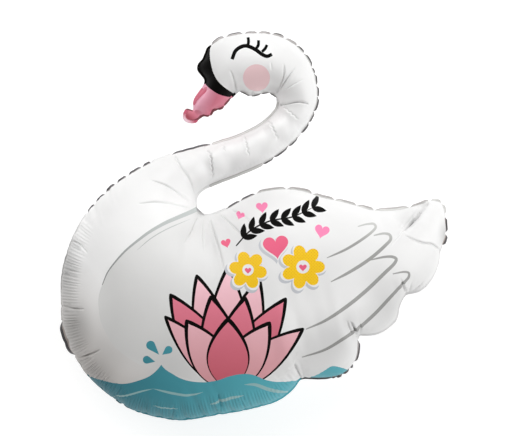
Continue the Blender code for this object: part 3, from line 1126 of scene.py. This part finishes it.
def crease_paths():
    """Each crease's line in the plan, its depth and its half width, in metres."""
    for creases, half_width, drawn in (
        (FOLDS, FOLD_HALF_WIDTH, curve),
        (CREASES, CREASE_HALF_WIDTH, curve),
        (CRUMPLES, CRUMPLE_HALF_WIDTH, crumpled),
    ):
        for pixels, depth in creases:
            yield plan_of(drawn(pixels)), depth / 1000, half_width


def crease_pull(plan):
    """How far the creases pull the film in at each point of the plan."""
    pulled = np.zeros(len(plan))
    for path, depth, half_width in crease_paths():
        low, high = path.min(axis=0) - CREASE_MARGIN, path.max(axis=0) + CREASE_MARGIN
        near = np.flatnonzero(((plan > low) & (plan < high)).all(axis=1))
        gap = np.full(len(near), np.inf)
        where = np.zeros(len(near))
        side = np.zeros(len(near))
        along = np.append(0, np.cumsum(np.linalg.norm(np.diff(path, axis=0), axis=1)))
        for k, (start, end) in enumerate(zip(path, path[1:])):
            way = end - start
            share = np.clip((plan[near] - start) @ way / (way @ way), 0, 1)
            off = plan[near] - start - share[:, None] * way
            far = np.linalg.norm(off, axis=1)
            closer = far < gap
            gap[closer] = far[closer]
            where[closer] = (along[k] + share * (along[k + 1] - along[k]))[closer] / along[-1]
            side[closer] = np.sign(off[:, 0] * way[1] - off[:, 1] * way[0])[closer]
        # A valley with a low ridge on one side of it, shallower towards the ends
        fade = np.sin(math.pi * np.clip(0.12 + 0.88 * where, 0, 1)) ** 0.6
        valley = np.exp(-((gap / half_width) ** 1.5))
        ridge = CREASE_RIDGE * np.exp(-(((gap * side / half_width - 2.1) / 1.2) ** 2))
        pulled[near] += CREASE_SHARPNESS * depth * fade * (valley - ridge)
    return pulled


def smooth_noise(count, period, random):
    """Smooth closed noise from 0 to 1 over count samples, that turns over about every period samples."""
    knots = max(4, round(count / period))
    value = random.random(knots)
    at = np.arange(count) * knots / count
    low = at.astype(int)
    share = eased(at - low)
    return value[low % knots] * (1 - share) + value[(low + 1) % knots] * share


def ribs(index, phase, gap, strength):
    """How far the fine ribs that stand square to the seam raise each point.

    index and phase are those of Seam.spokes, and gap the distance to the seam in the plan. A rib takes
    four of the seam's corners: its ridge, a side, the valley and a side. strength is for each corner.
    """
    random = np.random.default_rng(11)
    count = len(strength)
    height = RIB_HEIGHT * strength * (0.8 + 0.2 * smooth_noise(count, 14, random))
    reach = RIB_REACH * strength ** 0.5 * (0.9 + 0.2 * smooth_noise(count, 7, random))
    fade = eased(np.clip(2.2 * (1 - gap / reach[index]), 0, 1)) * np.clip(0.1 + gap / RIB_START, 0, 1)
    return np.interp(phase % 4, range(5), [1, 0.1, -1, 0.1, 1]) * height[index] * fade


def pressed(height):
    """Heights over the surface that the balloon lies on, with the back film pressed flat against it."""
    return (height + np.sqrt(height**2 + PRESSED_SOFTLY**2)) / 2


def hem_rows(seam_points):
    """The hem's middle and outer line: it lies flat in stretches and is folded over between them."""
    random = np.random.default_rng(5)
    count = len(seam_points)
    out = unit(outward(evened(seam_points, 60)[:, :2]))
    along, _ = lengths_along(seam_points)
    pixels = seam_points[:, :2] / [PIXEL, -PIXEL] + PHOTO_MIDDLE
    tilt = np.full(count, -HEM_LEAN)
    inks = np.full((count, 2), "", dtype=object)
    first = np.full(count, 0.5)
    width = np.full(count, 1.0)
    for (left, top, right, bottom), length, share, kind, breadth in HEM_SCALLOPS.values():
        own = ((pixels >= (left, top)) & (pixels <= (right, bottom))).all(axis=1)
        start, end = along[own].min(), along[own].max() + 1e-6
        scallops = max(1, round((end - start) / length))
        ends = np.linspace(start, end, scallops + 1)
        ends[1:-1] += random.uniform(*END_PLAY, scallops - 1) * (end - start) / scallops
        inner, outer, part = HEM_KINDS[kind]
        for start, end in zip(ends, ends[1:]):
            here = own & (along >= start) & (along < end)
            edge = np.abs(2 * (along[here] - start) / (end - start) - 1)
            fold = np.minimum(edge / share, 1) ** 3
            inks[here] = np.where((edge < share)[:, None], (inner, outer), ("", ""))
            first[here] = part * random.uniform(*PART_PLAY)
            width[here] = breadth * random.uniform(*WIDTH_PLAY)
            tilt[here] = random.uniform(*TILT_PLAY) * (1 - fold) - HEM_FOLD * fold
    tilt, width = evened(tilt, 2), evened(width, 2)
    way = np.column_stack([out * np.cos(tilt)[:, None], np.sin(tilt)])
    square = np.column_stack([-out * np.sin(tilt)[:, None], np.cos(tilt)])
    rows = [seam_points + way * HEM_WIDTH * share[:, None] for share in (first * width, width)]
    return rows, square, inks


def chained(seam, lines):
    """The seam's corners and then those of the lines, and the chains of them that have to stay edges."""
    points = [tuple(corner) for corner in seam.flat]
    chains = []
    for line in lines:
        for piece in seam.cut(line):
            chain = []
            for item in piece:
                if isinstance(item, int):
                    chain.append(item)
                else:
                    chain.append(len(points))
                    points.append(item)
            chains.append(chain)
    return points, chains


def with_own_corners(points, film, seam):
    """The points, and after them the corners of the creases, of the ribs and of the film itself."""
    spots = Spots(CELL)
    spots.add(points, 0)
    for path, _, _ in crease_paths():
        line = film.to_blank(path)
        square = beside(line)
        for off in CREASE_ROWS:
            spots.add(well_inside(seam.flat, line + off * square, seam.tree, CREASE_STOPS), CREASE_GAP)
    seam.add_rows(spots)
    field = film.flat[film.seam_count:]
    index, gap = nearest(seam.tree, field)
    taken = (seam.strength[index] > LONG_RIBS) & (gap < LONG_ROWS[-1][0])
    spots.add(field[(gap > RIM_BAND) & ~taken], FIELD_GAP)
    return spots.points


def printed_film(film, seam):
    """The flat mesh of both films, cut along their print's edges, and the inks of its triangles."""
    lines = [(ink, seam.reach(film.to_blank(plan_of(line)))) for ink, line in AREAS]
    areas = [(ink, seam.area(line)) for ink, line in lines]
    shapes, for_both = (
        [(ink, film.to_blank(plan_of(shape))) for ink, shape in printed]
        for printed in (front_print(), print_of_both())
    )
    edges = [line for _, line in lines] + [np.vstack([shape, shape[:1]]) for _, shape in shapes + for_both]
    points, chains = chained(seam, edges)
    flat, triangles = triangulate(with_own_corners(points, film, seam), seam.count, chains)

    centre = flat[triangles].mean(axis=1)
    inks = ["white"] + sorted({ink for ink, _ in shapes + for_both + areas})
    inks = list(dict.fromkeys(inks + HEM_INKS))
    front, back = np.zeros((2, len(triangles)), dtype=int)
    for ink, shape in shapes:
        front[inside(shape, centre)] = inks.index(ink)
    for ink, shape in areas + for_both:
        own = inside(shape, centre)
        front[own] = back[own] = inks.index(ink)
    return flat, triangles, (front, back), inks


def creased_and_ribbed(film, seam, flat, triangles):
    """The corners and faces of the front film and then of the back one, with their creases and ribs."""
    index, phase = seam.spokes(flat)
    rim_tree = tree_of(seam.placed[:, :2])
    fade = np.clip(nearest(seam.tree, flat)[1] / CREASES_FADE, 0, 1)
    for back in (False, True):
        points = film.placed(flat, back)
        faces = triangles[:, ::-1] if back else triangles
        normal = vertex_normals(points, faces)
        pull = crease_pull(seen(points)) * (BACK_CREASES if back else 1.0) * fade
        raised = ribs(index, phase, nearest(rim_tree, points[:, :2])[1], seam.strength)
        yield points + normal * (raised - pull)[:, None], faces


def hem_inks(seam, triangles, front, chosen, inks):
    """The inks of the hem's two halves: the film's beside them, or in a scallop the scallop's own."""
    numbers = np.zeros((seam.count, 2), dtype=int)
    at_seam = (triangles < seam.count).sum(axis=1) == 2
    for corner in range(3):
        own = at_seam & (triangles[:, corner] < seam.count)
        numbers[triangles[own, corner]] = front[own][:, None]
    for ink in HEM_INKS:
        numbers[chosen == ink] = inks.index(ink)
    return numbers


def closed_envelope(film):
    """Corners, faces and each face's ink for the whole balloon, and the inks' names."""
    seam = Seam(film)
    flat, triangles, film_inks, inks = printed_film(film, seam)
    rows, square, chosen = hem_rows(seam.placed)
    hem_ink = hem_inks(seam, triangles, film_inks[0], chosen, inks)

    # Each film with the hem's rows on its side, as two thin layers that meet at the outer edge
    corners, faces, face_inks, rings = [], [], [], []
    offset = 0
    for (points, own_faces), side, own_ink in zip(
        creased_and_ribbed(film, seam, flat, triangles), (1, -1), film_inks
    ):
        points[:seam.count] = seam.placed + side * HEM_HALF_THICKNESS * square
        faces.append(own_faces + offset)
        face_inks.append(own_ink)
        rings.append([])
        for layer in [points] + [row + side * HEM_HALF_THICKNESS * square for row in rows]:
            corners.append(layer)
            rings[-1].append(np.arange(seam.count) + offset)
            offset += len(layer)

    # The strips of faces between the rings, from the front film round the outer edge to the back film
    front, back = rings
    strips = [(front[0], front[1], 0), (front[1], front[2], 1), (front[2], back[2], 1)]
    strips += [(back[2], back[1], 1), (back[1], back[0], 0)]
    for inner, outer, part in strips:
        inner_next, outer_next = np.roll(inner, -1), np.roll(outer, -1)
        faces.append(np.column_stack([inner, outer, outer_next]))
        faces.append(np.column_stack([inner, outer_next, inner_next]))
        face_inks.append(np.tile(hem_ink[:, part], 2))
    corners = np.vstack(corners)
    middle = HIGHEST.z - HEM_STAND_OFF - film.depth
    corners[:, 2] = pressed(corners[:, 2] + middle)
    return corners, np.vstack(faces), np.concatenate(face_inks), inks


# Materials


def fill(tree, node, sockets):
    """Sets each of a node's sockets to a value, or feeds it from another node's output."""
    for socket, value in sockets.items():
        if isinstance(value, bpy.types.NodeSocket):
            tree.links.new(value, node.inputs[socket])
        else:
            node.inputs[socket].default_value = value


def add(tree, kind, output, sockets, **settings):
    """An output of a new shader node, made with these settings and sockets."""
    node = tree.nodes.new("ShaderNode" + kind)
    for name, value in settings.items():
        setattr(node, name, value)
    fill(tree, node, sockets)
    return node.outputs[output]


def noise(tree, place, scale, detail):
    return add(tree, "TexNoise", "Fac", {"Vector": place, "Scale": scale, "Detail": detail})


def srgb(screen):
    """A colour given as screen values from 0 to 255."""
    channels = [value / 255 for value in screen]
    return tuple(c / 12.92 if c <= 0.04045 else ((c + 0.055) / 1.055) ** 2.4 for c in channels) + (1.0,)


def coloured(tree, place, colour, other, start, end):
    """A colour that turns into the other one, if there is one, between two pixels."""
    share = 0.0
    if other:
        start, end = plan_of(start), plan_of(end)
        way = (end - start) / ((end - start) @ (end - start))
        share = add(tree, "VectorMath", "Value", {0: place, 1: (*way, 0)}, operation="DOT_PRODUCT")
        share = add(tree, "Math", 0, {0: share, 1: start @ way}, operation="SUBTRACT", use_clamp=True)
    sockets = {"A": srgb(colour), "B": srgb(other or colour), "Factor": share}
    return add(tree, "Mix", "Result", sockets, data_type="RGBA")


def dotted(tree, place, colour, dots):
    """Small dots of one colour over another, in a square grid that stands on its corner."""
    tilted = add(tree, "Mapping", "Vector", {"Vector": place, "Rotation": (0, 0, math.radians(45))})
    sockets = {"Vector": tilted, "Scale": 230.0, "Randomness": 0.0}
    far = add(tree, "TexVoronoi", "Distance", sockets, voronoi_dimensions="2D")
    small = add(tree, "Math", 0, {0: far, 1: 0.26}, operation="LESS_THAN")
    return add(tree, "Mix", "Result", {"A": colour, "B": srgb(dots), "Factor": small}, data_type="RGBA")


def uneven_with_painted_light_and_shade(tree, place, painted_shade_and_light):
    """The factor on the film's colour: slightly uneven all over, with the patches of painted shade and
    painted light on top.
    """
    light = add(
        tree, "MapRange", "Result", {"Value": noise(tree, place, 9.0, 3.0), "To Min": 0.93, "To Max": 1.03}
    )
    # Each patch paints shade (a factor below one) or light (above one) into the colour round its pixel
    for factor, centre, reach in painted_shade_and_light:
        across, up = (1 / (pixels * PIXEL) for pixels in reach)
        x, y = plan_of(centre)
        sockets = {"Vector": place, "Location": (-x * across, -y * up, 0), "Scale": (across, up, 0)}
        round_it = add(tree, "Mapping", "Vector", sockets)
        far = add(tree, "VectorMath", "Value", {0: round_it}, operation="LENGTH")
        sockets = {"Value": far, "From Min": 1.0, "From Max": 0.0, "To Min": 1.0, "To Max": factor}
        local = add(tree, "MapRange", "Result", sockets, interpolation_type="SMOOTHSTEP")
        light = add(tree, "Math", 0, {0: light, 1: local}, operation="MULTIPLY")
    return light


def film_material(
    name, colour, other=None, start=None, end=None,
    metal=0.10, rough=0.46, shine=0.5, dots=None, painted_shade_and_light=(),
):
    """Ink on metallised film: a satin skin, slightly uneven, with the metal showing faintly through, and for
    some inks patches of painted shade and painted light.
    """
    material = bpy.data.materials.new(name)
    material.use_nodes = True
    tree = material.node_tree
    place = add(tree, "TexCoord", "Object", {})
    ink = coloured(tree, place, colour, other, start, end)
    if dots:
        ink = dotted(tree, place, ink, dots)
    light = uneven_with_painted_light_and_shade(tree, place, painted_shade_and_light)
    satin = {"Value": noise(tree, place, 70.0, 4.0), "To Min": rough - 0.05, "To Max": rough + 0.07}
    soft = {"Height": noise(tree, place, 34.0, 2.0), "Strength": 0.5, "Distance": 0.0008}
    fine = {"Height": noise(tree, place, 900.0, 1.0), "Strength": 0.25, "Distance": 0.00008}
    fine["Normal"] = add(tree, "Bump", "Normal", soft)
    fill(tree, tree.nodes["Principled BSDF"], {
        "Base Color": add(tree, "VectorMath", "Vector", {0: ink, "Scale": light}, operation="SCALE"),
        "Roughness": add(tree, "MapRange", "Result", satin),
        "Normal": add(tree, "Bump", "Normal", fine),
        "Metallic": metal,
        "Specular IOR Level": shine,
        "Coat Weight": 0.2 * shine,
        "Coat Roughness": 0.22,
    })
    return material


# Painted shade and painted light on the white film, the grey behind the neck and the wing's lines: soft
# patches that make them darker or lighter than their form and the lamps make them, the first, over the wing,
# partly the wing's own printed grey.
# Each has a factor, the pixel in the middle of it, and how far across and down it fades out, in pixels
PAINTED_SHADE_AND_LIGHT = [
    (0.89, (290, 265), (150, 75)),
    (0.88, (407, 218), (18, 16)),
    (0.87, (250, 238), (56, 32)),
    (0.79, (334, 334), (62, 38)),
    (0.82, (314, 376), (68, 48)),
    (0.78, (393, 306), (42, 36)),
    (0.91, (374, 276), (36, 34)),
    (0.58, (449, 236), (16, 24)),
    (0.53, (64, 260), (26, 70)),
    (0.67, (78, 326), (26, 38)),
    (1.12, (100, 300), (26, 52)),
    (0.77, (92, 370), (36, 22)),
    (1.12, (132, 370), (34, 24)),
    (0.88, (178, 358), (36, 60)),
    (1.09, (182, 207), (44, 30)),
    (1.19, (274, 116), (42, 28)),
    (1.09, (238, 138), (60, 24)),
    (0.86, (258, 168), (52, 14)),
    (0.66, (235, 96), (17, 15)),
    (0.80, (271, 93), (12, 10)),
    (1.07, (262, 58), (40, 24)),
]

# Each ink's material and its colour, as screen values, and for some a second colour and the two pixels
# between which the first turns into it
WHITE = (236, 236, 236)
INKS = {
    # The white film's warm grey towards the lower left is painted shade
    "white": ("white_film", (176, 171, 167), WHITE, (72, 365), (132, 295)),
    "tone": ("shaded_white_film", (207, 207, 206), WHITE, (95, 320), (275, 270)),
    "arc_grey": ("neck_line_grey", (200, 205, 204), (118, 119, 119), (196, 210), (104, 285)),
    "feather_grey": ("feather_line_grey", (208, 208, 206), (157, 157, 155), (381, 221), (376, 246)),
    "black": ("black_ink", (8, 7, 6)),
    # The beak's pale upper left is painted light, its darker pink towards the right painted shade
    "beak": ("beak_pink", (248, 184, 205), (214, 120, 141), (199, 97), (213, 105)),
    "cheek": ("cheek_pink", (239, 205, 208)),
    "pink_light": ("petal_light_pink", (244, 196, 207), (214, 150, 156), (220, 270), (220, 380)),
    "pink_deep": ("petal_deep_pink", (224, 122, 144), (198, 88, 104), (220, 290), (220, 380)),
    "heart_pink": ("heart_pink", (224, 84, 122)),
    "heart_light": ("heart_light_pink", (244, 130, 176)),
    "yellow": ("dotted_yellow", (240, 198, 0)),
    "shadow_grey": ("print_shadow_grey", (186, 188, 194)),
    # The teal's darker lower left is painted shade
    "teal": ("water_teal", (42, 108, 124), (84, 168, 181), (84, 410), (260, 374)),
    "wave_light": ("water_light_line", (142, 180, 182)),
    # The hem's inks are its silver in the tones of its reflections: the taupe and dark silver, the dark pink
    # and the dark teal are painted reflection and painted shade on the flange
    "hem_pale": ("hem_pale_silver", (208, 208, 206)),
    "hem_light": ("hem_light_silver", (180, 176, 175)),
    "hem_taupe": ("hem_taupe_silver", (176, 166, 160)),
    "hem_dark": ("hem_dark_silver", (92, 90, 92)),
    "hem_red": ("hem_dark_pink", (120, 52, 62)),
    "hem_teal": ("hem_dark_teal", (40, 90, 104)),
    # beak_edge, beak_rim and beak_deep are painted shade along the beak's edge, a painted highlight on the
    # curl's rim that runs into shade, and painted shade inside the curl
    "beak_edge": ("beak_edge_painted_shade", (214, 108, 132)),
    "beak_rim": ("beak_rim_painted_highlight_and_shade", (200, 88, 114), (255, 218, 230), (188.5, 116.4), (185.6, 119.8)),
    "beak_deep": ("beak_curl_painted_shade", (186, 84, 101), (224, 138, 160), (188, 117), (200, 110)),
}

# What is unlike the usual film: how metallic, rough and shiny it is, its dots, and its painted shade and
# light
FINISHES = {
    "white": {"shine": 0.28, "painted_shade_and_light": PAINTED_SHADE_AND_LIGHT},
    "tone": {"shine": 0.28, "painted_shade_and_light": PAINTED_SHADE_AND_LIGHT},
    "feather_grey": {"painted_shade_and_light": PAINTED_SHADE_AND_LIGHT},
    "black": {"metal": 0.0, "rough": 0.6, "shine": 0.05},
    "yellow": {"metal": 0.05, "shine": 0.3, "dots": (218, 152, 14)},
    "teal": {"metal": 0.04, "rough": 0.5, "shine": 0.12},
    "wave_light": {"metal": 0.04, "shine": 0.2},
    "hem_pale": {"metal": 0.4, "rough": 0.38},
    "hem_light": {"metal": 0.3, "rough": 0.36},
    "hem_taupe": {"metal": 0.2, "rough": 0.36},
    "hem_dark": {"metal": 0.6, "rough": 0.32},
}


def stand(name, data):
    """A new object in the scene."""
    made = bpy.data.objects.new(name, data)
    bpy.context.scene.collection.objects.link(made)
    return made


def balloon():
    """The balloon's one piece, with a material for each ink."""
    corners, faces, face_inks, inks = closed_envelope(Film())
    mesh = bpy.data.meshes.new("balloon_film")
    mesh.from_pydata(corners.tolist(), [], faces.tolist())
    mesh.polygons.foreach_set("material_index", face_inks)
    mesh.shade_smooth()
    for ink in inks:
        mesh.materials.append(film_material(*INKS[ink], **FINISHES.get(ink, {})))
    mesh.update()
    piece = stand("balloon_film", mesh)
    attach(piece, "root")
    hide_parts("balloon_envelope")


# The studio


def floor():
    """A wide pale floor that glows a little, so that the shadows on it stay light."""
    reach = 6.0
    corners = [(-reach, -reach, 0), (reach, -reach, 0), (reach, reach, 0), (-reach, reach, 0)]
    mesh = bpy.data.meshes.new("floor")
    mesh.from_pydata(corners, [], [(0, 1, 2, 3)])
    material = bpy.data.materials.new("pale_floor")
    material.use_nodes = True
    tree = material.node_tree
    fill(tree, tree.nodes["Principled BSDF"], {
        "Base Color": (0.52, 0.52, 0.52, 1),
        "Roughness": 0.9,
        "Emission Color": (1, 1, 1, 1),
        "Emission Strength": 0.64,
    })
    mesh.materials.append(material)
    ground = stand("floor", mesh)
    ground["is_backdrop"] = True


def soft_sun(name, way, strength, degrees):
    """An even light from the direction way, as wide as it must be for soft shadows."""
    light = bpy.data.lights.new(name, "SUN")
    light.energy = strength
    light.angle = math.radians(degrees)
    lamp = stand(name, light)
    lamp.location = way
    lamp.rotation_euler = (-Vector(way)).to_track_quat("-Z", "Y").to_euler()


def camera():
    """Straight down on the balloon, with the photograph's frame at the height of the hem."""
    data = bpy.data.cameras.new("camera")
    data.sensor_width = 36
    data.lens = data.sensor_width * CAMERA_HEIGHT / (PHOTO_SIZE[0] * PIXEL)
    data.clip_end = 50
    eye = stand("camera", data)
    eye.location = (*PHOTO_CENTRE, (LOWEST.z + HIGHEST.z) / 2 + CAMERA_HEIGHT)
    bpy.context.scene.camera = eye


def studio():
    """A pale sky, two wide suns, the floor and the camera."""
    world = bpy.data.worlds.new("studio")
    world.use_nodes = True
    tree = world.node_tree
    fill(tree, tree.nodes["Background"], {"Color": (1, 0.99, 0.975, 1), "Strength": 0.40})
    bpy.context.scene.world = world
    bpy.context.scene.view_settings.view_transform = "Standard"
    soft_sun("key", (1.0, -0.1, 0.6), 1.5, 70)
    soft_sun("fill", (-0.3, 1.0, 0.72), 1.7, 70)
    floor()
    camera()


studio()
balloon()

{name: [list(corner) for corner in box] for name, box in (("cad", CAD_BOX), ("visual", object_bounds()))}
